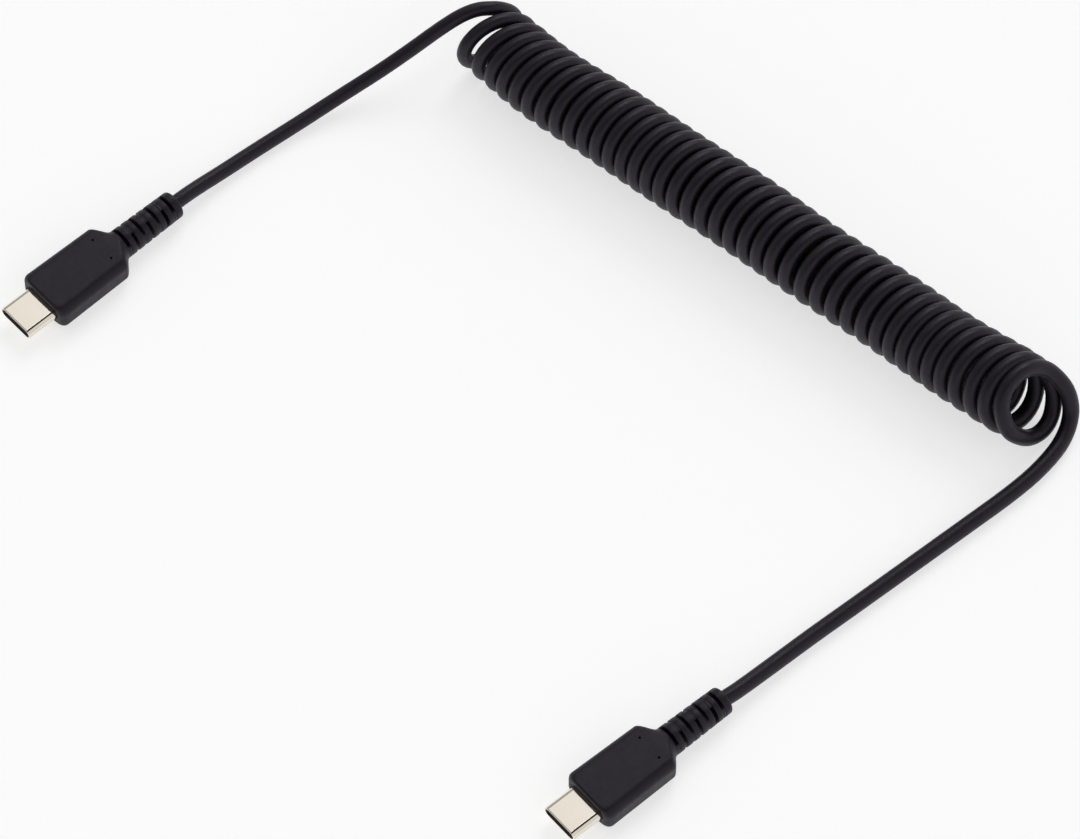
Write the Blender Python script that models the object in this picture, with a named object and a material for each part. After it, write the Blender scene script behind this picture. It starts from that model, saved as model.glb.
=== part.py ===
"""Coiled cable with a USB-C plug on each end, lying on a level surface.

Units are metres, +Z is up and z = 0 is the surface the cable lies on. +X runs along the coil,
from the end that plug A's lead leaves to the end that plug B's lead leaves. Both plug tips
point roughly towards -Y.
"""

import math

import bmesh
import bpy
from mathutils import Matrix, Vector

MM = 0.001

# Metal shell of the plug, the standard USB-C size
SHELL_WIDTH = 8.25 * MM
SHELL_THICK = 2.40 * MM
SHELL_WALL = 0.28 * MM
SHELL_EXPOSED = 6.65 * MM
SHELL_EMBEDDED = 2.5 * MM
SHELL_LIP = 0.10 * MM

# Plastic insert inside the shell, with the slot that takes the receptacle's tongue
INSERT_GAP = 0.12 * MM
INSERT_RECESS = 0.35 * MM
INSERT_SIDE_WALL = 0.375 * MM
INSERT_FACE_WALL = 0.38 * MM
INSERT_BACK_WALL = 2.7 * MM

# Overmould: a flat body that narrows through a shoulder into a round strain relief
BODY_WIDTH_FRONT = 12.0 * MM
BODY_WIDTH_BACK = 11.45 * MM
BODY_THICK = 6.3 * MM
BODY_CORNER = 1.9 * MM
BODY_LENGTH = 16.2 * MM
FRONT_PLAN_RADIUS = 1.45 * MM
FRONT_EDGE_RADIUS = 0.45 * MM
SHOULDER_LENGTH = 3.1 * MM
RELIEF_ROOT_RADIUS = 3.08 * MM
RELIEF_TIP_RADIUS = 2.82 * MM
RELIEF_LENGTH = 13.85 * MM
RELIEF_END_RADIUS = 0.6 * MM
POCKET_GAP = 0.2 * MM

# Flex slots cut across the strain relief, alternately over and under it and on its two sides
SLOT_WIDTH = 0.62 * MM
SLOT_FIRST = 0.45 * MM
SLOT_END_COLLAR = 2.1 * MM
SLOT_COVER = 0.15 * MM
FLAT_SLOTS = 4

# Two small blind pinholes in the top of the body, left by the mould's support pins
PIN_RADIUS = 0.25 * MM
PIN_DEPTH = 0.6 * MM
PIN_SPREAD = 2.7 * MM
PIN_BEFORE_SHOULDER = 1.15 * MM

# Cord
CORD_DIAMETER = 3.0 * MM
FACE_GAP = 0.3 * MM
LEAD_STRAIGHT = 1.2 * MM

# Coil, the outer size of its wound turns
COIL_DIAMETER_FAR = 15.5 * MM
COIL_DIAMETER_NEAR = 16.7 * MM
COIL_FAR_X = -43.4 * MM
COIL_NEAR_X = 83.9 * MM
COIL_Y = 92.8 * MM

# Where the plugs lie: the middle of each strain relief's end, and its turn about +Z
PLUGS = {
    "plug_a": {"cord_end": (-69.8 * MM, 29.2 * MM), "turn": math.radians(-8.85)},
    "plug_b": {"cord_end": (77.9 * MM, 10.1 * MM), "turn": math.radians(-10.6)},
}
PLUG_HEIGHT = max(BODY_THICK / 2, RELIEF_ROOT_RADIUS)

# Each lead's route in mm, chosen by hand, from just outside its plug to its end of the coil
LEAD_ROUTES = {
    "plug_a": ("lead_a", [
        (-69.1, 34.3, 2.8), (-68.0, 40.5, 2.0), (-67.0, 45.1, 1.65), (-66.0, 49.7, 1.55),
        (-64.8, 54.3, 1.6), (-63.6, 58.9, 1.8), (-62.2, 63.4, 2.4), (-60.7, 67.7, 3.3),
        (-59.0, 71.8, 4.5), (-57.3, 75.8, 6.0), (-54.8, 81.6, 8.5), (-52.1, 87.6, 11.3),
        (-50.6, 90.6, 12.6), (-49.0, 93.1, 13.3), (-47.1, 95.1, 13.5), (-44.5, 96.5, 13.2),
    ]),
    "plug_b": ("lead_b", [
        (79.1, 16.6, 2.6), (80.0, 21.4, 2.2), (81.8, 31.2, 1.65), (83.9, 40.9, 1.55),
        (86.0, 50.5, 1.55), (88.1, 60.1, 1.55), (90.2, 69.8, 1.55), (91.9, 77.9, 1.55),
        (92.9, 84.8, 1.55), (93.0, 91.0, 1.6), (92.5, 94.5, 1.9), (91.3, 97.9, 3.4),
        (89.7, 99.5, 6.3), (88.2, 99.8, 9.0), (86.8, 98.8, 12.3), (85.6, 95.9, 14.7),
    ]),
}
LEAD_POINTS = 36

# Roundness
RING_POINTS = 32
COIL_SIDES = 32
PIN_SIDES = 10


def clear_scene():
    for obj in list(bpy.data.objects):
        bpy.data.objects.remove(obj)


def make_collection(name):
    collection = bpy.data.collections.new(name)
    bpy.context.scene.collection.children.link(collection)
    return collection


def make_material(name, color, roughness, metallic=0.0):
    material = bpy.data.materials.new(name)
    material.use_nodes = True
    shader = material.node_tree.nodes["Principled BSDF"]
    shader.inputs["Base Color"].default_value = (*color, 1.0)
    shader.inputs["Roughness"].default_value = roughness
    shader.inputs["Metallic"].default_value = metallic
    return material


def add_object(name, mesh, collection, parent=None, material=None):
    obj = bpy.data.objects.new(name, mesh)
    collection.objects.link(obj)
    obj.parent = parent
    if material:
        obj.data.materials.append(material)
    return obj


def smoothstep(value, start, end):
    t = min(max((value - start) / (end - start), 0.0), 1.0)
    return t * t * (3.0 - 2.0 * t)


def mix(a, b, share):
    return a + (b - a) * share


def round_in(distance, radius):
    """How far a rounded edge of this radius draws in at a distance from the face it meets."""
    if distance >= radius:
        return 0.0
    return radius - math.sqrt(radius * radius - (radius - distance) ** 2)


def section(y, half_width, half_thick, corner):
    """A rounded rectangle across the plug at y, which is a circle where all three sizes agree."""
    corner = min(corner, half_width, half_thick)
    points = []
    for i in range(RING_POINTS):
        angle = 2 * math.pi * (i + 0.5) / RING_POINTS
        side = math.copysign(1, math.cos(angle))
        level = math.copysign(1, math.sin(angle))
        x = side * (half_width - corner) + corner * math.cos(angle)
        z = level * (half_thick - corner) + corner * math.sin(angle)
        points.append((x, y, z))
    return points


def loft(name, rings, capped=True):
    """One surface through rings that run along +Y, with flat caps when it is closed."""
    bm = bmesh.new()
    loops = [[bm.verts.new(point) for point in ring] for ring in rings]
    for near, far in zip(loops, loops[1:]):
        for i, vert in enumerate(near):
            j = (i + 1) % len(near)
            bm.faces.new((vert, far[i], far[j], near[j]))
    if capped:
        bm.faces.new(loops[0])
        bm.faces.new(reversed(loops[-1]))
    mesh = bpy.data.meshes.new(name)
    bm.to_mesh(mesh)
    bm.free()
    return mesh


def shade(obj, degrees=35):
    obj.data.shade_smooth()
    obj.data.set_sharp_from_angle(angle=math.radians(degrees))


def make_cutter(name, mesh, collection, parent):
    cutter = add_object(name, mesh, collection, parent)
    cutter.hide_render = True
    cutter.display_type = "WIRE"
    return cutter


def cut(target, cutter):
    modifier = target.modifiers.new(cutter.name, "BOOLEAN")
    modifier.operation = "DIFFERENCE"
    modifier.object = cutter


def box_mesh(name, centre, size):
    bm = bmesh.new()
    bmesh.ops.create_cube(bm, size=1.0)
    bmesh.ops.scale(bm, vec=size, verts=bm.verts)
    bmesh.ops.translate(bm, vec=centre, verts=bm.verts)
    mesh = bpy.data.meshes.new(name)
    bm.to_mesh(mesh)
    bm.free()
    return mesh


# Lengths along a plug, measured from its shell's tip
BODY_FRONT = SHELL_EXPOSED
BODY_BACK = BODY_FRONT + BODY_LENGTH
RELIEF_START = BODY_BACK + SHOULDER_LENGTH
PLUG_END = RELIEF_START + RELIEF_LENGTH
SHELL_BACK = SHELL_EXPOSED + SHELL_EMBEDDED


def relief_radius(y):
    return mix(RELIEF_ROOT_RADIUS, RELIEF_TIP_RADIUS, (y - RELIEF_START) / RELIEF_LENGTH)


def overmould_section(y):
    """The overmould's outline at y: flat body, shoulder or strain relief."""
    if y >= RELIEF_START:
        radius = relief_radius(y) - round_in(PLUG_END - y, RELIEF_END_RADIUS)
        return section(y, radius, radius, radius)
    share = smoothstep(y, BODY_BACK, RELIEF_START)
    taper = (y - BODY_FRONT) / BODY_LENGTH
    body_width = mix(BODY_WIDTH_FRONT, BODY_WIDTH_BACK, taper) / 2
    body_width -= round_in(y - BODY_FRONT, FRONT_PLAN_RADIUS)
    body_thick = BODY_THICK / 2 - round_in(y - BODY_FRONT, FRONT_EDGE_RADIUS)
    return section(
        y,
        mix(body_width, RELIEF_ROOT_RADIUS, share),
        mix(body_thick, RELIEF_ROOT_RADIUS, share),
        mix(BODY_CORNER, RELIEF_ROOT_RADIUS, share),
    )


def overmould_stations():
    front = [BODY_FRONT + FRONT_EDGE_RADIUS * share for share in (0.0, 0.12, 0.4, 1.0)]
    corner = [BODY_FRONT + FRONT_PLAN_RADIUS * share for share in (0.6, 1.0)]
    shoulder = [BODY_BACK + SHOULDER_LENGTH * i / 8 for i in range(9)]
    end = [PLUG_END - RELIEF_END_RADIUS * share for share in (1.0, 0.55, 0.2, 0.0)]
    return front + corner + shoulder + end


def stadium(y, width, thick):
    return section(y, width / 2, thick / 2, thick / 2)


def cut_overmould(body, prefix, cutters, frame):
    """The shell's pocket, the flex slots and the pinholes."""
    pocket = loft(prefix + "_pocket_cut", [
        stadium(BODY_FRONT - MM, SHELL_WIDTH + 2 * POCKET_GAP, SHELL_THICK + 2 * POCKET_GAP),
        stadium(SHELL_BACK + POCKET_GAP,
                SHELL_WIDTH + 2 * POCKET_GAP, SHELL_THICK + 2 * POCKET_GAP),
    ])
    cut(body, make_cutter(prefix + "_pocket_cut", pocket, cutters, frame))
    reach = RELIEF_ROOT_RADIUS + MM
    floor = CORD_DIAMETER / 2 + SLOT_COVER
    depth = reach - floor
    middle = (reach + floor) / 2
    pitch = (RELIEF_LENGTH - SLOT_FIRST - SLOT_END_COLLAR) / (FLAT_SLOTS - 1)
    for side in (1, -1):
        for i in range(FLAT_SLOTS):
            name = f"{prefix}_flat_slot_cut_{i}_{'top' if side > 0 else 'under'}"
            y = RELIEF_START + SLOT_FIRST + pitch * i
            mesh = box_mesh(name, (0, y, side * middle), (2 * reach, SLOT_WIDTH, depth))
            cut(body, make_cutter(name, mesh, cutters, frame))
        for i in range(FLAT_SLOTS - 1):
            name = f"{prefix}_side_slot_cut_{i}_{'right' if side > 0 else 'left'}"
            y = RELIEF_START + SLOT_FIRST + pitch * (i + 0.5)
            mesh = box_mesh(name, (side * middle, y, 0), (depth, SLOT_WIDTH, 2 * reach))
            cut(body, make_cutter(name, mesh, cutters, frame))
        name = f"{prefix}_pin_cut_{'right' if side > 0 else 'left'}"
        bm = bmesh.new()
        bmesh.ops.create_cone(bm, cap_ends=True, segments=PIN_SIDES, radius1=PIN_RADIUS,
                              radius2=PIN_RADIUS, depth=2 * PIN_DEPTH)
        bmesh.ops.translate(bm, verts=bm.verts, vec=(
            side * PIN_SPREAD, BODY_BACK - PIN_BEFORE_SHOULDER, BODY_THICK / 2))
        mesh = bpy.data.meshes.new(name)
        bm.to_mesh(mesh)
        bm.free()
        cut(body, make_cutter(name, mesh, cutters, frame))


def make_overmould(prefix, parts, cutters, frame, material):
    rings = [overmould_section(y) for y in overmould_stations()]
    name = prefix + "_overmould"
    body = add_object(name, loft(name, rings), parts, frame, material)
    cut_overmould(body, prefix, cutters, frame)
    shade(body)


def make_shell(prefix, parts, frame, material):
    """The drawn metal shell, open at both ends, its front edge slightly rounded."""
    rings = [
        stadium(0, SHELL_WIDTH - 2 * SHELL_LIP, SHELL_THICK - 2 * SHELL_LIP),
        stadium(SHELL_LIP, SHELL_WIDTH, SHELL_THICK),
        stadium(SHELL_BACK, SHELL_WIDTH, SHELL_THICK),
        stadium(SHELL_BACK, SHELL_WIDTH - 2 * SHELL_WALL, SHELL_THICK - 2 * SHELL_WALL),
        stadium(0, SHELL_WIDTH - 2 * SHELL_WALL, SHELL_THICK - 2 * SHELL_WALL),
    ]
    name = prefix + "_shell"
    shell = add_object(name, loft(name, rings + rings[:1], capped=False), parts, frame, material)
    weld = shell.modifiers.new("Close the front rim", "WELD")
    weld.merge_threshold = 0.00001
    shade(shell)


def make_insert(prefix, parts, cutters, frame, material):
    """The moulded insert that fills the shell, with the slot that takes a receptacle's tongue."""
    width = SHELL_WIDTH - 2 * (SHELL_WALL + INSERT_GAP)
    thick = SHELL_THICK - 2 * (SHELL_WALL + INSERT_GAP)
    name = prefix + "_insert"
    rings = [stadium(INSERT_RECESS, width, thick), stadium(SHELL_BACK, width, thick)]
    insert = add_object(name, loft(name, rings), parts, frame, material)
    mouth = INSERT_RECESS - MM
    floor = SHELL_BACK - INSERT_BACK_WALL
    slot = box_mesh(prefix + "_tongue_cut", (0, (mouth + floor) / 2, 0),
                    (width - 2 * INSERT_SIDE_WALL, floor - mouth, thick - 2 * INSERT_FACE_WALL))
    cut(insert, make_cutter(prefix + "_tongue_cut", slot, cutters, frame))
    shade(insert)


def smooth_route(points, count):
    """Evenly spaced points on a Catmull-Rom curve through the route's own points."""
    knots = [2 * points[0] - points[1], *points, 2 * points[-1] - points[-2]]
    fine = []
    for a, b, c, d in zip(knots, knots[1:], knots[2:], knots[3:]):
        for step in range(12):
            t = step / 12
            fine.append(0.5 * (2 * b + (c - a) * t + (2 * a - 5 * b + 4 * c - d) * t ** 2
                               + (3 * b - a - 3 * c + d) * t ** 3))
    fine.append(knots[-2])
    reached = [0.0]
    for a, b in zip(fine, fine[1:]):
        reached.append(reached[-1] + (b - a).length)
    spaced = []
    k = 0
    for i in range(count):
        goal = reached[-1] * i / (count - 1)
        while k < len(fine) - 2 and reached[k + 1] < goal:
            k += 1
        share = (goal - reached[k]) / (reached[k + 1] - reached[k])
        spaced.append(fine[k].lerp(fine[k + 1], share))
    return spaced


def make_lead(name, start, route, parts, material):
    """The stretch of cord from just off a plug's end face to its end of the coil."""
    points = smooth_route(start + [Vector(point) * MM for point in route], LEAD_POINTS)
    curve = bpy.data.curves.new(name, "CURVE")
    curve.dimensions = "3D"
    curve.bevel_depth = CORD_DIAMETER / 2
    curve.bevel_resolution = 2
    curve.use_fill_caps = True
    spline = curve.splines.new("POLY")
    spline.points.add(len(points) - 1)
    for slot, point in zip(spline.points, points):
        slot.co = (*point, 1.0)
    add_object(name, curve, parts, None, material)


def make_coil(parts, material):
    """The wound turns as one tapered tube of their outer diameter, lying along +X."""
    length = COIL_NEAR_X - COIL_FAR_X
    far = COIL_DIAMETER_FAR / 2
    near = COIL_DIAMETER_NEAR / 2
    bm = bmesh.new()
    bmesh.ops.create_cone(bm, cap_ends=True, segments=COIL_SIDES, radius1=far, radius2=near,
                          depth=length)
    # Half a facet's turn puts a flat facet down, and the shear keeps that facet on z = 0
    turn = Matrix.Rotation(math.pi / 2, 4, "Y") @ Matrix.Rotation(math.pi / COIL_SIDES, 4, "Z")
    bmesh.ops.transform(bm, matrix=turn, verts=bm.verts)
    facet = math.cos(math.pi / COIL_SIDES)
    for vert in bm.verts:
        share = vert.co.x / length + 0.5
        vert.co.z += mix(far, near, share) * facet
    mesh = bpy.data.meshes.new("coil")
    bm.to_mesh(mesh)
    bm.free()
    coil = add_object("coil", mesh, parts, None, material)
    coil.location = ((COIL_FAR_X + COIL_NEAR_X) / 2, COIL_Y, 0)
    shade(coil)


def build():
    clear_scene()
    parts = make_collection("coiled_usb_c_cable")
    cutters = make_collection("cutters")
    jacket = make_material("cord_jacket", (0.018, 0.017, 0.020), 0.42)
    moulding = make_material("overmould", (0.020, 0.019, 0.023), 0.45)
    metal = make_material("shell_metal", (0.78, 0.72, 0.63), 0.22, 1.0)
    plastic = make_material("insert_plastic", (0.012, 0.012, 0.013), 0.5)
    for prefix, place in PLUGS.items():
        cord_end = Vector((*place["cord_end"], PLUG_HEIGHT))
        along = Matrix.Rotation(place["turn"], 3, "Z") @ Vector((0, 1, 0))
        frame = bpy.data.objects.new(prefix + "_frame", None)
        parts.objects.link(frame)
        frame.location = cord_end - PLUG_END * along
        frame.rotation_euler = (0, 0, place["turn"])
        make_overmould(prefix, parts, cutters, frame, moulding)
        make_shell(prefix, parts, frame, metal)
        make_insert(prefix, parts, cutters, frame, plastic)
        name, route = LEAD_ROUTES[prefix]
        start = [cord_end + FACE_GAP * along, cord_end + (FACE_GAP + LEAD_STRAIGHT) * along]
        make_lead(name, start, route, parts, jacket)
    make_coil(parts, jacket)


build()
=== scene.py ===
"""Looks of a coiled cable with a USB-C plug on each end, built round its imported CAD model.

Units are metres, in the CAD model's own frame: +Z is up and z = 0 is the surface it lies on.
"""

import math

import bmesh
import bpy
import numpy as np
from mathutils import Matrix, Vector


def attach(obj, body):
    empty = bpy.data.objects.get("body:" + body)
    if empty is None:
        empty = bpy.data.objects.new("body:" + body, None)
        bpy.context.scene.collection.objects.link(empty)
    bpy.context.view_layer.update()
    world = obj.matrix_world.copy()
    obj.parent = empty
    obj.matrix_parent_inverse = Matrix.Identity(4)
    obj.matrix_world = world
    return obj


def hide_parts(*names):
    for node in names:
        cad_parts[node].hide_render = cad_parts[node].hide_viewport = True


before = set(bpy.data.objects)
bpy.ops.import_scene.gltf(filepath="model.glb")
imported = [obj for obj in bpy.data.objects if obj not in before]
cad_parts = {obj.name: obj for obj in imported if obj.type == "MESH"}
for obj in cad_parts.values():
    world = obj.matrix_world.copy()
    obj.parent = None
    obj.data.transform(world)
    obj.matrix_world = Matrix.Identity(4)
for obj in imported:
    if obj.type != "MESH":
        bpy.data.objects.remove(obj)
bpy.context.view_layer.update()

MM = 0.001

# The photograph's camera, far off with a long lens. Its sensor is as wide as the picture
PHOTO_WIDTH = 1080
FOCAL_PIXELS = 8000
SENSOR_WIDTH = 36.0
CLIP_NEAR = 0.05
CLIP_FAR = 50.0
CAMERA_AZIMUTH = math.radians(38.8)
CAMERA_ELEVATION = math.radians(59.3)
CAMERA_DISTANCE = 1500.9 * MM
CAMERA_TARGET = Vector((13.12, 36.92, 0.0)) * MM

# Where the plugs lie: the middle of each strain relief's end, and its turn about +Z
PLUGS = {
    "plug_a": {"cord_end": (-69.8 * MM, 29.2 * MM), "turn": math.radians(-8.85)},
    "plug_b": {"cord_end": (77.9 * MM, 10.1 * MM), "turn": math.radians(-10.6)},
}
PLUG_HEIGHT = 3.15 * MM

# Metal shell, and how deep the moulding's front face is dished round it
SHELL_WIDTH = 8.25 * MM
SHELL_THICK = 2.40 * MM
SHELL_WALL = 0.28 * MM
SHELL_EXPOSED = 6.65 * MM
FACE_DISH = 0.25 * MM
SHELL_BACK = 9.15 * MM
SHELL_LIP = 0.42 * MM
SHELL_LIP_IN = 0.2 * MM
SHELL_RIM_STEP = 0.02 * MM
SHELL_WALL_ENDS = 0.03 * MM

# Insert inside the shell, and the contacts in its slot
INSERT_GAP = 0.12 * MM
INSERT_RECESS = 0.35 * MM
INSERT_SIDE_WALL = 0.375 * MM
INSERT_FACE_WALL = 0.38 * MM
INSERT_BACK_WALL = 2.7 * MM
INSERT_CORNER = 0.08 * MM
INSERT_EDGE = 0.06 * MM
CONTACTS_IN_ROW = 12
CONTACT_PITCH = 0.5 * MM
CONTACT_WIDTH = 0.27 * MM
CONTACT_THICK = 0.1 * MM
CONTACT_BEVEL = 0.03 * MM
CONTACT_START = 0.95 * MM
CONTACT_END = 6.2 * MM

# Overmould. A plug's y runs from its shell's tip to the cord's end of its strain relief
BODY_LENGTH = 16.2 * MM
SHOULDER_LENGTH = 3.1 * MM
RELIEF_LENGTH = 13.85 * MM
BODY_FRONT = SHELL_EXPOSED
BODY_BACK = BODY_FRONT + BODY_LENGTH
RELIEF_START = BODY_BACK + SHOULDER_LENGTH
PLUG_END = RELIEF_START + RELIEF_LENGTH
BODY_WIDTH_FRONT = 12.0 * MM
BODY_WIDTH_BACK = 11.45 * MM
BODY_THICK = 6.3 * MM
BODY_CORNER = 1.9 * MM
FRONT_PLAN_RADIUS = 1.45 * MM
FRONT_EDGE_RADIUS = 0.45 * MM
FRONT_BOTTOM_RADIUS = 1.2 * MM
RELIEF_ROOT_RADIUS = 3.08 * MM
RELIEF_TIP_RADIUS = 2.82 * MM
RELIEF_END_RADIUS = 0.6 * MM
POCKET_GAP = 0.06 * MM
POCKET_LIP = 0.04 * MM
BORE_DEPTH = 3.0 * MM
BORE_RADIUS = 1.56 * MM
BORE_LIP = 0.06 * MM
LIP_DEPTH = 0.1 * MM

# Flex slots across the strain relief
SLOT_WIDTH = 0.7 * MM
SLOT_FIRST = 0.45 * MM
SLOT_PITCH = 3.77 * MM
FLAT_SLOTS = 4
SLOT_FLOOR = 1.65 * MM
SIDE_SLOT_LEFT = -1.75 * MM
SIDE_SLOT_RIGHT = 0.95 * MM
SLOT_LIP = 0.09 * MM
SLOT_WALL_LEAN = 0.01 * MM
SLOT_FOOT = 0.08 * MM
SLOT_FOOT_RISE = 0.06 * MM

# Pinholes left by the mould's support pins
PIN_RADIUS = 0.25 * MM
PIN_DEPTH = 0.6 * MM
PIN_SPREAD = 2.7 * MM
PIN_Y = BODY_BACK - 1.15 * MM

# Cord: its real size, its seen thickness in mm, and its route in mm outside the coil's turns
CORD_DIAMETER = 3.0 * MM
THICK_PLUG_A = 2.98
THICK_LEAD_A = 2.82
THICK_LAST_TURN = 3.22
THICK_PLUG_B = 3.14
LEAD_A = [
    (-70.08, 27.4, 3.15), (-69.8, 29.2, 3.15), (-69.56, 30.8, 3.1), (-69.1, 34.3, 2.65),
    (-68.0, 40.5, 1.85), (-66.0, 49.7, 1.5), (-63.55, 58.9, 1.8), (-60.7, 67.7, 3.2),
    (-57.3, 75.8, 5.8), (-54.8, 81.6, 8.25), (-52.1, 87.6, 11.3), (-50.55, 90.6, 12.8),
    (-49.3, 92.7, 13.55), (-48.0, 94.5, 13.8), (-46.6, 96.1, 13.5),
]
LAST_TURN = [
    (84.0, 100.0, 8.6), (86.1, 99.5, 5.8), (87.5, 97.8, 3.5), (88.3, 95.8, 2.2),
    (88.5, 93.6, 1.65), (88.2, 91.4, 1.9), (87.6, 89.4, 3.0), (86.9, 87.8, 4.9),
    (85.9, 86.6, 6.8), (84.66, 86.4, 8.5), (83.5, 86.8, 10.55), (82.5, 87.6, 12.2),
    (81.9, 89.0, 13.7), (81.7, 91.1, 14.9), (82.0, 93.8, 15.2), (82.8, 96.5, 14.3),
    (84.3, 98.8, 12.4), (86.4, 99.7, 10.4), (88.7, 99.9, 8.0), (90.1, 99.4, 5.8),
    (91.0, 98.6, 4.1), (91.9, 96.9, 2.7), (92.6, 94.5, 1.8),
]
LEAD_B = [
    (93.1, 91.0, 1.62), (93.0, 84.8, 1.62), (92.0, 77.9, 1.62), (90.3, 69.8, 1.62),
    (88.2, 60.1, 1.62), (86.1, 50.5, 1.6), (84.0, 40.9, 1.6), (81.9, 31.2, 1.7),
    (80.1, 21.4, 2.2), (78.6, 12.9, 2.95), (78.0, 10.4, 3.15), (77.55, 8.3, 3.15),
]

# Coil, a left-handed helix along +X whose turns lean and vary a little. In mm, evenly spaced
TURNS = 40
TURN_FIRST = 0.1
TURN_LAST = 39.12
POINTS_A_TURN = 12
STEPS_A_POINT = 3
TURN_STATIONS = [
    -47.3, -39.7, -33.5, -27.2, -20.6, -14.1, -7.9, -1.8, 4.4, 11.1, 17.9, 24.7, 31.1, 38.4,
    45.6, 52.7, 59.3, 65.46, 71.73, 78.8, 85.63,
]
TURN_OUTER = [15.0, 15.62, 16.08, 16.09, 16.23, 16.05, 16.22, 16.40, 17.26]
TURN_AXIS = [94.2, 92.5, 92.70, 92.70, 92.91, 92.70, 92.88, 92.65, 93.38]
LEAN_SIDE = [0.25, 0.04, 0.03, 0.03, -0.03]
LEAN_FRONT = [-0.187, -0.251, -0.297, -0.239, -0.469]
LEAN_TURN = math.radians(-24.8)

# The cord's thickness in the coil, in mm: how it grows, and the shares of the coil it grows over
COIL_THICK = 2.86
COIL_GROWS = 0.20
COIL_GROWS_TO = 0.85
NEAR_GROWS = 0.16
NEAR_GROWS_FROM = 0.92

# Local changes: the first turns lean more and their backs are shifted along X, and the middle
# and last turns' undersides are shifted and thicker. Each comes and goes over some turns
FIRST_LEAN_SIDE = 0.05
FIRST_LEAN_FRONT = -0.03
FIRST_LEAN_END = 4.0
FIRST_SHIFT = 0.65
FIRST_SHIFT_ENDS = (4.0, 10.0)
MIDDLE_SHIFT = 0.6
MIDDLE_SWELL = 0.55
MIDDLE_TURN = math.radians(155)
SHIFT_FROM = 11.0
SWELL_FROM = 4.0
MIDDLE_COMES_OVER = 3.0
MIDDLE_ENDS = (33.0, 36.0)
LAST_SHIFT = 0.56
LAST_SWELL = 0.24
LAST_COMES = (36.5, 38.2)


def new_object(name, mesh, material):
    obj = bpy.data.objects.new(name, mesh)
    bpy.context.scene.collection.objects.link(obj)
    obj.data.materials.append(material)
    return obj


def mix(a, b, share):
    return a + (b - a) * share


def clamp(value, low=0.0, high=1.0):
    return min(max(value, low), high)


def smoothstep(value, start, end):
    t = clamp((value - start) / (end - start))
    return t * t * (3.0 - 2.0 * t)


def round_in(distance, radius):
    """How far a rounded edge of this radius draws in at a distance from the face it meets."""
    left = radius - clamp(distance, 0.0, radius)
    return radius - math.sqrt(radius * radius - left * left)


# Materials

def new_material(name, color, roughness, metallic=0.0, specular=0.5, gloss=(1.0, 1.0, 1.0)):
    material = bpy.data.materials.new(name)
    material.use_nodes = True
    shader = material.node_tree.nodes["Principled BSDF"]
    shader.inputs["Base Color"].default_value = (*color, 1.0)
    shader.inputs["Roughness"].default_value = roughness
    shader.inputs["Metallic"].default_value = metallic
    shader.inputs["Specular IOR Level"].default_value = specular
    shader.inputs["Specular Tint"].default_value = (*gloss, 1.0)
    return material, material.node_tree, shader


def noise(tree, scale, detail=3.0):
    where = tree.nodes.new("ShaderNodeTexCoord")
    node = tree.nodes.new("ShaderNodeTexNoise")
    node.inputs["Scale"].default_value = scale
    node.inputs["Detail"].default_value = detail
    node.inputs["Roughness"].default_value = 0.5
    tree.links.new(where.outputs["Object"], node.inputs["Vector"])
    return node.outputs["Fac"]


def spread(tree, value, low, high):
    """A noise value spread between two limits."""
    node = tree.nodes.new("ShaderNodeMapRange")
    node.inputs["From Min"].default_value = 0.3
    node.inputs["From Max"].default_value = 0.7
    node.inputs["To Min"].default_value = low
    node.inputs["To Max"].default_value = high
    tree.links.new(value, node.inputs["Value"])
    return node.outputs["Result"]


def tint(tree, value, first, second):
    node = tree.nodes.new("ShaderNodeMix")
    node.data_type = "RGBA"
    node.inputs["A"].default_value = (*first, 1.0)
    node.inputs["B"].default_value = (*second, 1.0)
    tree.links.new(value, node.inputs["Factor"])
    return node.outputs["Result"]


def bump(tree, shader, value, height, strength):
    node = tree.nodes.new("ShaderNodeBump")
    node.inputs["Strength"].default_value = strength
    node.inputs["Distance"].default_value = height
    tree.links.new(value, node.inputs["Height"])
    tree.links.new(node.outputs["Normal"], shader.inputs["Normal"])


# The black plastics' highlights are a little blue
PLASTIC_GLOSS = (0.89, 0.80, 1.0)


def soft_plastic(name, first, second, rough_low, rough_high, grain, specular):
    material, tree, shader = new_material(name, first, rough_low, specular=specular,
                                          gloss=PLASTIC_GLOSS)
    patches = spread(tree, noise(tree, 260.0), 0.0, 1.0)
    tree.links.new(tint(tree, patches, first, second), shader.inputs["Base Color"])
    rough = spread(tree, noise(tree, 900.0), rough_low, rough_high)
    tree.links.new(rough, shader.inputs["Roughness"])
    bump(tree, shader, noise(tree, grain, 2.0), 0.02 * MM, 0.5)
    return material


JACKET = soft_plastic("cord_jacket", (0.0042, 0.0038, 0.0050), (0.0058, 0.0052, 0.0068),
                      0.40, 0.50, 7000.0, 0.38)
MOULDING = soft_plastic("overmould", (0.0048, 0.0043, 0.0056), (0.0066, 0.0060, 0.0076),
                        0.44, 0.54, 6000.0, 0.34)
PLASTIC = soft_plastic("insert_plastic", (0.0040, 0.0038, 0.0040), (0.0056, 0.0054, 0.0056),
                       0.40, 0.50, 6000.0, 0.25)


def bright_metal(name, first, second, rough_low, rough_high):
    material, tree, shader = new_material(name, first, rough_low, 1.0)
    patches = spread(tree, noise(tree, 180.0), 0.0, 1.0)
    tree.links.new(tint(tree, patches, first, second), shader.inputs["Base Color"])
    rough = spread(tree, noise(tree, 1200.0), rough_low, rough_high)
    tree.links.new(rough, shader.inputs["Roughness"])
    bump(tree, shader, noise(tree, 5000.0, 2.0), 0.004 * MM, 0.4)
    return material


METAL = bright_metal("shell_metal", (0.80, 0.735, 0.63), (0.84, 0.78, 0.69), 0.07, 0.11)
GOLD = bright_metal("contact_gold", (0.83, 0.60, 0.26), (0.86, 0.65, 0.32), 0.16, 0.24)


# Camera

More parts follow.
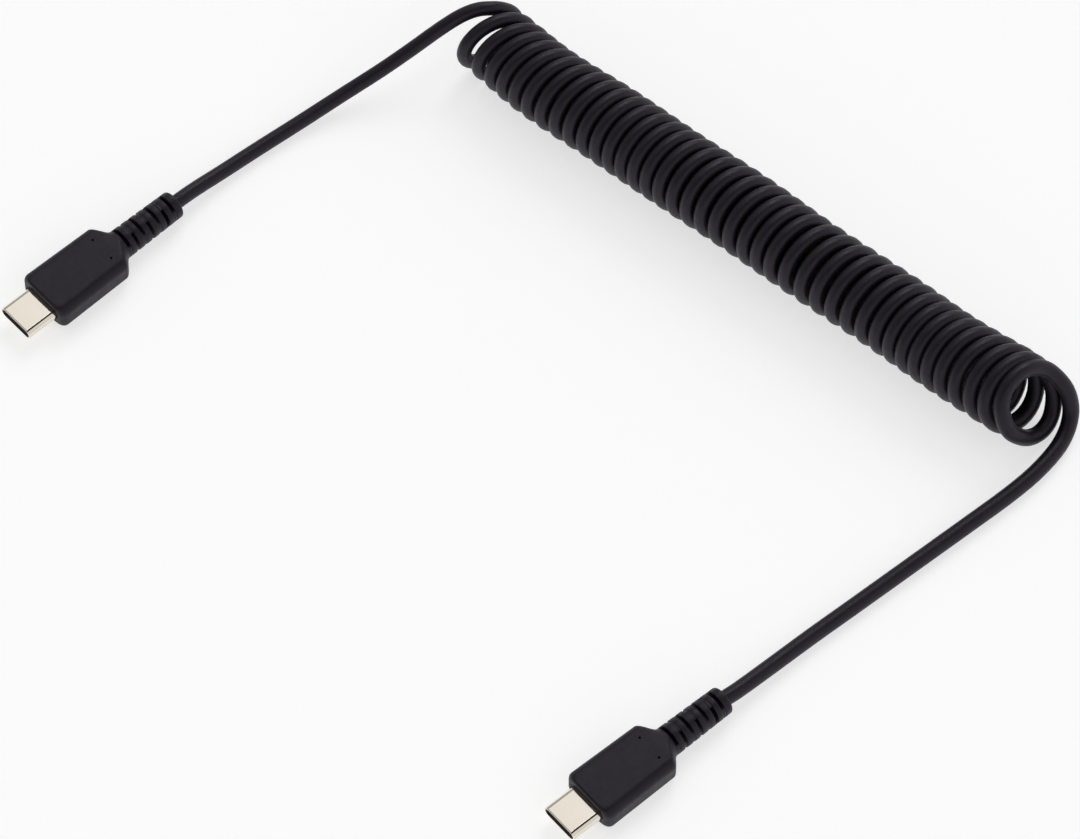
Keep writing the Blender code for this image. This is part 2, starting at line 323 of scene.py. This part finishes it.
def make_camera():
    data = bpy.data.cameras.new("camera")
    data.sensor_width = SENSOR_WIDTH
    data.lens = FOCAL_PIXELS / PHOTO_WIDTH * SENSOR_WIDTH
    data.clip_start = CLIP_NEAR
    data.clip_end = CLIP_FAR
    camera = bpy.data.objects.new("camera", data)
    bpy.context.scene.collection.objects.link(camera)
    back = Vector((
        math.sin(CAMERA_AZIMUTH) * math.cos(CAMERA_ELEVATION),
        -math.cos(CAMERA_AZIMUTH) * math.cos(CAMERA_ELEVATION),
        math.sin(CAMERA_ELEVATION),
    ))
    camera.location = CAMERA_TARGET + back * CAMERA_DISTANCE
    camera.rotation_euler = (-back).to_track_quat("-Z", "Y").to_euler()
    bpy.context.scene.camera = camera


make_camera()


# Cord

def read_row(values, share):
    """Reads evenly spaced values at a share of the row, on a smooth curve through them."""
    last = len(values) - 1
    place = clamp(share) * last
    i = min(int(place), last - 1)
    t = place - i
    row = [2 * values[0] - values[1], *values, 2 * values[-1] - values[-2]]
    a, b, c, d = row[i:i + 4]
    return 0.5 * (2 * b + (c - a) * t + (2 * a - 5 * b + 4 * c - d) * t * t
                  + (3 * b - a - 3 * c + d) * t ** 3)


def last_share(turn):
    """1 at the underside of the coil's last turns, which the slits show, and 0 away from it."""
    return max(0.0, -math.cos(2 * math.pi * turn)) * smoothstep(turn, *LAST_COMES)


def middle_share(turn, start):
    """1 at the lower back of the turns from the start to the last few, and 0 away from it."""
    back = max(0.0, math.cos(2 * math.pi * turn - MIDDLE_TURN)) ** 2
    comes = smoothstep(turn, start, start + MIDDLE_COMES_OVER)
    return back * comes * (1.0 - smoothstep(turn, *MIDDLE_ENDS))


def coil_strand(turn):
    """The cord's thickness in the coil, in mm, larger towards the near end and underneath."""
    share = turn / TURNS
    thick = COIL_THICK + COIL_GROWS * min(share / COIL_GROWS_TO, 1.0)
    thick += NEAR_GROWS * max((share - NEAR_GROWS_FROM) / (1.0 - NEAR_GROWS_FROM), 0.0)
    return thick + MIDDLE_SWELL * middle_share(turn, SWELL_FROM) + LAST_SWELL * last_share(turn)


def coil_point(turn):
    """A point of the helix in mm. Turn 0 is on top of the coil at its far end."""
    share = turn / TURNS
    angle = 2 * math.pi * turn
    outer = read_row(TURN_OUTER, share)
    radius = (outer - coil_strand(turn)) / 2
    side = radius * math.sin(angle - LEAN_TURN)
    front = radius * math.cos(angle - LEAN_TURN)
    x = read_row(TURN_STATIONS, share)
    first = 1.0 - smoothstep(turn, 0.0, FIRST_LEAN_END)
    x += (read_row(LEAN_SIDE, share) + FIRST_LEAN_SIDE * first) * side
    x += (read_row(LEAN_FRONT, share) + FIRST_LEAN_FRONT * first) * front
    x += FIRST_SHIFT * max(0.0, math.sin(angle)) * (1.0 - smoothstep(turn, *FIRST_SHIFT_ENDS))
    x += MIDDLE_SHIFT * middle_share(turn, SHIFT_FROM) + LAST_SHIFT * last_share(turn)
    y = read_row(TURN_AXIS, share) + radius * math.sin(angle)
    return x, y, outer / 2 + radius * math.cos(angle)


def cord_knots():
    """Points in mm along the whole cord, each with the cord's thickness there."""
    knots = []
    for i, point in enumerate(LEAD_A):
        share = i / (len(LEAD_A) - 1)
        knots.append((point, mix(THICK_PLUG_A, THICK_LEAD_A, min(2 * share, 1.0))))
    steps = round((TURN_LAST - TURN_FIRST) * POINTS_A_TURN)
    for i in range(steps + 1):
        turn = mix(TURN_FIRST, TURN_LAST, i / steps)
        knots.append((coil_point(turn), coil_strand(turn)))
    for point in LAST_TURN:
        knots.append((point, THICK_LAST_TURN))
    for i, point in enumerate(LEAD_B):
        knots.append((point, mix(THICK_LAST_TURN, THICK_PLUG_B, i / (len(LEAD_B) - 1))))
    return knots


def smooth_path(points, steps):
    """A centripetal Catmull-Rom curve through the points, which doesn't overshoot."""
    knots = [2 * points[0] - points[1], *points, 2 * points[-1] - points[-2]]
    fine = []
    for p0, p1, p2, p3 in zip(knots, knots[1:], knots[2:], knots[3:]):
        t1 = math.sqrt((p1 - p0).length)
        t2 = t1 + math.sqrt((p2 - p1).length)
        t3 = t2 + math.sqrt((p3 - p2).length)
        for step in range(steps):
            t = mix(t1, t2, step / steps)
            a1 = p0.lerp(p1, t / t1)
            a2 = p1.lerp(p2, (t - t1) / (t2 - t1))
            a3 = p2.lerp(p3, (t - t2) / (t3 - t2))
            b1 = a1.lerp(a2, t / t2)
            b2 = a2.lerp(a3, (t - t1) / (t3 - t1))
            fine.append(b1.lerp(b2, (t - t1) / (t2 - t1)))
    fine.append(points[-1])
    return fine


def make_cord():
    knots = cord_knots()
    points = smooth_path([Vector(point) * MM for point, _ in knots], STEPS_A_POINT)
    curve = bpy.data.curves.new("cord", "CURVE")
    curve.dimensions = "3D"
    curve.bevel_depth = CORD_DIAMETER / 2
    curve.bevel_resolution = 6
    curve.use_fill_caps = True
    spline = curve.splines.new("POLY")
    spline.points.add(len(points) - 1)
    for i, (spline_point, point) in enumerate(zip(spline.points, points)):
        k = min(i // STEPS_A_POINT, len(knots) - 2)
        thick = mix(knots[k][1], knots[k + 1][1], i / STEPS_A_POINT - k)
        spline_point.co = (*point, 1.0)
        spline_point.radius = thick * MM / CORD_DIAMETER
    return new_object("cord", curve, JACKET)


cord = make_cord()
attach(cord, "root")
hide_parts("lead_a", "coil", "lead_b")


# Plugs

def plug_matrix(place):
    turn = Matrix.Rotation(place["turn"], 4, "Z")
    along = turn.to_3x3() @ Vector((0, 1, 0))
    end = Vector((*place["cord_end"], PLUG_HEIGHT))
    return Matrix.Translation(end - PLUG_END * along) @ turn


def outline(half_width, half_thick, corner, count):
    """Evenly spaced points round a rounded rectangle, from the middle of its right side."""
    corner = min(corner, half_width, half_thick)
    dense = []
    for i in range(720):
        angle = 2 * math.pi * i / 720
        side = math.copysign(1.0, math.cos(angle)) if abs(math.cos(angle)) > 1e-9 else 0.0
        level = math.copysign(1.0, math.sin(angle)) if abs(math.sin(angle)) > 1e-9 else 0.0
        dense.append((
            side * (half_width - corner) + corner * math.cos(angle),
            level * (half_thick - corner) + corner * math.sin(angle),
        ))
    dense = np.array(dense + dense[:1])
    reached = np.concatenate(([0.0], np.cumsum(np.hypot(*np.diff(dense, axis=0).T))))
    goals = reached[-1] * np.arange(count) / count
    xs = np.interp(goals, reached, dense[:, 0])
    zs = np.interp(goals, reached, dense[:, 1])
    return list(zip(xs.tolist(), zs.tolist()))


# Points round a ring of the overmould and of the smaller pieces, and how near two rings may come
RING = 144
SMALL_RING = 96
RING_SPACING = 0.2 * MM

# Edges that turn more than this many degrees stay sharp
SHARP_TURN = 32
SHELL_SHARP_TURN = 40


def relief_radius(y):
    return mix(RELIEF_ROOT_RADIUS, RELIEF_TIP_RADIUS, (y - RELIEF_START) / RELIEF_LENGTH)


def body_outline(y, inset=0.0):
    """The overmould's outline at y, drawn in by inset."""
    if y >= RELIEF_START:
        radius = relief_radius(y) - round_in(PLUG_END - y, RELIEF_END_RADIUS) - inset
        return outline(radius, radius, radius, RING)
    share = smoothstep(y, BODY_BACK, RELIEF_START)
    taper = (y - BODY_FRONT) / BODY_LENGTH
    width = mix(BODY_WIDTH_FRONT, BODY_WIDTH_BACK, taper) / 2
    width -= round_in(y - BODY_FRONT, FRONT_PLAN_RADIUS)
    thick = BODY_THICK / 2 - round_in(y - BODY_FRONT, FRONT_EDGE_RADIUS)
    return outline(
        mix(width, RELIEF_ROOT_RADIUS, share) - inset,
        mix(thick, RELIEF_ROOT_RADIUS, share) - inset,
        mix(BODY_CORNER, RELIEF_ROOT_RADIUS, share) - inset,
        RING,
    )


def slot_stations(middle, flat):
    """Stations across one flex slot: y, how far its lip is rounded in, its floor, and its kind."""
    half = SLOT_WIDTH / 2
    rows = []
    for side in (-1, 1):
        rows += [
            (middle + side * (half + SLOT_LIP), 0.0, None, flat),
            (middle + side * (half + SLOT_LIP * 0.35), SLOT_LIP * 0.25, None, flat),
            (middle + side * half, SLOT_LIP, None, flat),
            (middle + side * (half - SLOT_WALL_LEAN), SLOT_LIP, SLOT_FLOOR + SLOT_FOOT_RISE, flat),
            (middle + side * (half - SLOT_FOOT), SLOT_LIP, SLOT_FLOOR, flat),
        ]
    return rows


def overmould_rings():
    """The overmould's outside, ring by ring. A row's last value is False in the side slots."""
    rows = []
    for share in (0.0, 0.03, 0.1, 0.22, 0.4, 0.65, 1.0):
        rows.append((BODY_FRONT + FRONT_EDGE_RADIUS * share, 0.0, None, True))
    for share in (0.4, 0.55, 0.75, 1.0):
        rows.append((BODY_FRONT + FRONT_PLAN_RADIUS * share, 0.0, None, True))
    for i in range(1, 7):
        rows.append((mix(BODY_FRONT + FRONT_PLAN_RADIUS, BODY_BACK, i / 6), 0.0, None, True))
    for i in range(1, 25):
        rows.append((mix(BODY_BACK, RELIEF_START, i / 24), 0.0, None, True))
    for i in range(FLAT_SLOTS):
        rows += slot_stations(RELIEF_START + SLOT_FIRST + SLOT_PITCH * i, True)
    for i in range(FLAT_SLOTS - 1):
        rows += slot_stations(RELIEF_START + SLOT_FIRST + SLOT_PITCH * (i + 0.5), False)
    for i in range(1, 28):
        y = mix(RELIEF_START, PLUG_END - RELIEF_END_RADIUS, i / 27)
        if all(abs(y - row[0]) > RING_SPACING for row in rows if row[0] > RELIEF_START):
            rows.append((y, 0.0, None, True))
    for share in (0.75, 0.5, 0.3, 0.15, 0.05, 0.0):
        rows.append((PLUG_END - RELIEF_END_RADIUS * share, 0.0, None, True))
    rows.sort(key=lambda row: row[0])
    rings = []
    for y, inset, floor, flat in rows:
        ring = []
        front = y - BODY_FRONT
        low = round_in(front, FRONT_BOTTOM_RADIUS) - round_in(front, FRONT_EDGE_RADIUS)
        for x, z in body_outline(y, inset):
            if z < 0:
                z *= 1.0 - low / (BODY_THICK / 2)
            if floor is not None and flat:
                z = clamp(z, -floor, floor)
            elif floor is not None and (x > SIDE_SLOT_RIGHT or x < SIDE_SLOT_LEFT):
                shrink = floor / math.hypot(x, z)
                x, z = x * shrink, z * shrink
            ring.append((x, y, z))
        rings.append(ring)
    return rings


def flat_ring(y, half_width, half_thick, corner, count=RING):
    return [(x, y, z) for x, z in outline(half_width, half_thick, corner, count)]


def round_ring(y, radius):
    return flat_ring(y, radius, radius, radius)


def stadium_ring(y, width, thick):
    return flat_ring(y, width / 2, thick / 2, thick / 2, SMALL_RING)


def skin(name, rings, closed):
    """A mesh through rings of equal size. A closed one runs back to its first ring."""
    bm = bmesh.new()
    loops = [[bm.verts.new(point) for point in ring] for ring in rings]
    pairs = list(zip(loops, loops[1:]))
    if closed:
        pairs.append((loops[-1], loops[0]))
    for near, far in pairs:
        for i, vert in enumerate(near):
            j = (i + 1) % len(near)
            bm.faces.new((vert, near[j], far[j], far[i]))
    if not closed:
        bm.faces.new(reversed(loops[0]))
        bm.faces.new(loops[-1])
    bmesh.ops.recalc_face_normals(bm, faces=bm.faces)
    mesh = bpy.data.meshes.new(name)
    bm.to_mesh(mesh)
    bm.free()
    return mesh


def shade(obj, degrees=SHARP_TURN):
    obj.data.shade_smooth()
    obj.data.set_sharp_from_angle(angle=math.radians(degrees))


def drill(obj, cutters):
    """Cuts the given meshes out of obj for good."""
    for i, mesh in enumerate(cutters):
        cutter = bpy.data.objects.new(f"cutter_{i}", mesh)
        bpy.context.scene.collection.objects.link(cutter)
        modifier = obj.modifiers.new("cut", "BOOLEAN")
        modifier.operation = "DIFFERENCE"
        modifier.object = cutter
        bpy.context.view_layer.update()
        evaluated = obj.evaluated_get(bpy.context.evaluated_depsgraph_get())
        made = bpy.data.meshes.new_from_object(evaluated)
        obj.modifiers.clear()
        obj.data = made
        bpy.data.objects.remove(cutter)


def pin_mesh(x):
    bm = bmesh.new()
    bmesh.ops.create_cone(bm, cap_ends=True, segments=16, radius1=PIN_RADIUS,
                          radius2=PIN_RADIUS, depth=2 * PIN_DEPTH)
    bmesh.ops.translate(bm, verts=bm.verts, vec=(x, PIN_Y, BODY_THICK / 2))
    mesh = bpy.data.meshes.new("pin")
    bm.to_mesh(mesh)
    bm.free()
    return mesh


def make_overmould(name):
    outer = overmould_rings()
    pocket_width = SHELL_WIDTH / 2 + POCKET_GAP
    pocket_thick = SHELL_THICK / 2 + POCKET_GAP
    pocket_back = SHELL_BACK + POCKET_GAP
    pocket = [
        flat_ring(pocket_back, pocket_width * 0.5, pocket_thick * 0.5, pocket_thick * 0.5),
        flat_ring(pocket_back, pocket_width, pocket_thick, pocket_thick),
        flat_ring(BODY_FRONT + FACE_DISH + LIP_DEPTH, pocket_width, pocket_thick, pocket_thick),
        flat_ring(BODY_FRONT + FACE_DISH, pocket_width + POCKET_LIP, pocket_thick + POCKET_LIP,
                  pocket_thick + POCKET_LIP),
    ]
    bore = [
        round_ring(PLUG_END, BORE_RADIUS + BORE_LIP),
        round_ring(PLUG_END - LIP_DEPTH, BORE_RADIUS),
        round_ring(PLUG_END - BORE_DEPTH, BORE_RADIUS),
        round_ring(PLUG_END - BORE_DEPTH, BORE_RADIUS / 2),
    ]
    mesh = skin(name, pocket + outer + bore, closed=False)
    obj = new_object(name, mesh, MOULDING)
    drill(obj, [pin_mesh(PIN_SPREAD), pin_mesh(-PIN_SPREAD)])
    shade(obj)
    return obj


def make_shell(name):
    rings = []
    for share in (0.0, 0.06, 0.2, 0.4, 0.65, 1.0):
        inset = round_in(share, 1.0) * SHELL_LIP_IN
        width = SHELL_WIDTH - 2 * inset
        thick = SHELL_THICK - 2 * inset
        rings.append(stadium_ring(SHELL_LIP * share, width, thick))
    for y in (SHELL_LIP + SHELL_WALL_ENDS, SHELL_BACK - SHELL_WALL_ENDS, SHELL_BACK):
        rings.append(stadium_ring(y, SHELL_WIDTH, SHELL_THICK))
    inner_width = SHELL_WIDTH - 2 * SHELL_WALL
    inner_thick = SHELL_THICK - 2 * SHELL_WALL
    rings.append(stadium_ring(SHELL_BACK, inner_width, inner_thick))
    rings.append(stadium_ring(SHELL_RIM_STEP, inner_width, inner_thick))
    mesh = skin(name, rings, closed=True)
    obj = new_object(name, mesh, METAL)
    shade(obj, SHELL_SHARP_TURN)
    return obj


def make_insert(name):
    width = SHELL_WIDTH - 2 * (SHELL_WALL + INSERT_GAP)
    thick = SHELL_THICK - 2 * (SHELL_WALL + INSERT_GAP)
    half_width = width / 2 - INSERT_SIDE_WALL
    half_thick = thick / 2 - INSERT_FACE_WALL
    floor = SHELL_BACK - INSERT_BACK_WALL
    rings = [
        stadium_ring(SHELL_BACK, width, thick),
        stadium_ring(INSERT_RECESS + INSERT_EDGE, width, thick),
        stadium_ring(INSERT_RECESS, width - 2 * INSERT_EDGE, thick - 2 * INSERT_EDGE),
        flat_ring(INSERT_RECESS, half_width + INSERT_EDGE, half_thick + INSERT_EDGE,
                  INSERT_CORNER + INSERT_EDGE, SMALL_RING),
        flat_ring(INSERT_RECESS + INSERT_EDGE, half_width, half_thick, INSERT_CORNER, SMALL_RING),
        flat_ring(floor, half_width, half_thick, INSERT_CORNER, SMALL_RING),
    ]
    mesh = skin(name, rings, closed=False)
    obj = new_object(name, mesh, PLASTIC)
    shade(obj)
    return obj


def make_contacts(name):
    """Both rows of contacts, one on each face of the slot."""
    slot_thick = SHELL_THICK - 2 * (SHELL_WALL + INSERT_GAP + INSERT_FACE_WALL)
    bm = bmesh.new()
    for level in (1, -1):
        for i in range(CONTACTS_IN_ROW):
            x = (i - (CONTACTS_IN_ROW - 1) / 2) * CONTACT_PITCH
            made = bmesh.ops.create_cube(bm, size=1.0)["verts"]
            bmesh.ops.scale(bm, verts=made,
                            vec=(CONTACT_WIDTH, CONTACT_END - CONTACT_START, CONTACT_THICK))
            bmesh.ops.translate(bm, verts=made, vec=(
                x, (CONTACT_START + CONTACT_END) / 2, level * (slot_thick - CONTACT_THICK) / 2))
    bmesh.ops.bevel(bm, geom=bm.edges, offset=CONTACT_BEVEL, segments=2, profile=0.5,
                    affect="EDGES")
    mesh = bpy.data.meshes.new(name)
    bm.to_mesh(mesh)
    bm.free()
    obj = new_object(name, mesh, GOLD)
    shade(obj)
    return obj


for prefix, place in PLUGS.items():
    made = {
        "overmould": make_overmould(prefix + "_grip"),
        "shell": make_shell(prefix + "_tube"),
        "insert": make_insert(prefix + "_tongue_slot"),
        "contacts": make_contacts(prefix + "_contacts"),
    }
    for kind, piece in made.items():
        piece.matrix_world = plug_matrix(place)
        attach(piece, "root")
        if kind != "contacts":
            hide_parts(f"{prefix}_{kind}")
    list(made.values())


# Floor and light. The room's panels are bands across X and along Y, where a direction meets a
# level ceiling one unit up, each with its edges' softness
FLOOR_HALF = 4.0
FLOOR_DROP = 0.02 * MM
FLOOR_GREY = 0.5
FLOOR_GLOW = 0.64
ROOM = 0.42
KEY_ACROSS = (-0.8, -0.03, 0.03)
KEY_ALONG = (-0.1, 2.0, 0.06)
KEY_LIGHT = 3.4
PANE_ACROSS = (-0.92, -0.06, 0.04)
PANE_ALONG = (-0.3, 0.68, 0.08)
PANE_LOSS = 2.85
SIDE_EDGE = (0.5, 0.7)
SIDE_LIGHT = 0.36
GAP_ACROSS = (-0.03, 0.6, 0.03)
GAP_ALONG = (-1.5, 2.0, 0.2)
GAP_LOSS = 0.38


def make_floor():
    bm = bmesh.new()
    bmesh.ops.create_grid(bm, x_segments=8, y_segments=8, size=FLOOR_HALF)
    mesh = bpy.data.meshes.new("floor")
    bm.to_mesh(mesh)
    bm.free()
    material, _, shader = new_material("floor", (FLOOR_GREY,) * 3, 0.9, specular=0.1)
    shader.inputs["Emission Color"].default_value = (1.0, 1.0, 1.0, 1.0)
    shader.inputs["Emission Strength"].default_value = FLOOR_GLOW
    floor = new_object("floor", mesh, material)
    floor.location.z = -FLOOR_DROP


def step_node(tree, value, low, high):
    """0 below low, 1 above high and smooth between."""
    node = tree.nodes.new("ShaderNodeMapRange")
    node.interpolation_type = "SMOOTHSTEP"
    node.inputs["From Min"].default_value = low
    node.inputs["From Max"].default_value = high
    tree.links.new(value, node.inputs["Value"])
    return node.outputs["Result"]


def math_node(tree, operation, first, second):
    node = tree.nodes.new("ShaderNodeMath")
    node.operation = operation
    for socket, value in zip(node.inputs, (first, second)):
        if isinstance(value, (int, float)):
            socket.default_value = value
        else:
            tree.links.new(value, socket)
    return node.outputs[0]


def make_world():
    """A pale room with a bright panel above, a dimmer pane in the panel, and more light at +X.

    A dark gap lies between the panel and the lighter side.
    """
    world = bpy.data.worlds.new("studio")
    bpy.context.scene.world = world
    world.use_nodes = True
    tree = world.node_tree
    background = tree.nodes["Background"]
    where = tree.nodes.new("ShaderNodeTexCoord")
    split = tree.nodes.new("ShaderNodeSeparateXYZ")
    tree.links.new(where.outputs["Generated"], split.inputs[0])
    up = math_node(tree, "MAXIMUM", split.outputs["Z"], 0.02)
    across = math_node(tree, "DIVIDE", split.outputs["X"], up)
    along = math_node(tree, "DIVIDE", split.outputs["Y"], up)

    def band(value, low, high, soft):
        rise = step_node(tree, value, low - soft, low + soft)
        fall = step_node(tree, value, high - soft, high + soft)
        return math_node(tree, "SUBTRACT", rise, fall)

    def panel(across_band, along_band):
        return math_node(tree, "MULTIPLY", band(across, *across_band), band(along, *along_band))

    def scaled(value, factor):
        return math_node(tree, "MULTIPLY", value, factor)

    pane = scaled(panel(PANE_ACROSS, PANE_ALONG), PANE_LOSS)
    key_light = math_node(tree, "SUBTRACT", KEY_LIGHT, pane)
    key = math_node(tree, "MULTIPLY", panel(KEY_ACROSS, KEY_ALONG), key_light)
    side = scaled(step_node(tree, across, *SIDE_EDGE), SIDE_LIGHT)
    gap = scaled(panel(GAP_ACROSS, GAP_ALONG), GAP_LOSS)
    total = math_node(tree, "ADD", ROOM, key)
    total = math_node(tree, "ADD", total, side)
    total = math_node(tree, "SUBTRACT", total, gap)
    tree.links.new(total, background.inputs["Strength"])
    background.inputs["Color"].default_value = (1.0, 1.0, 1.0, 1.0)


make_floor()
make_world()
bpy.context.scene.view_settings.view_transform = "Standard"
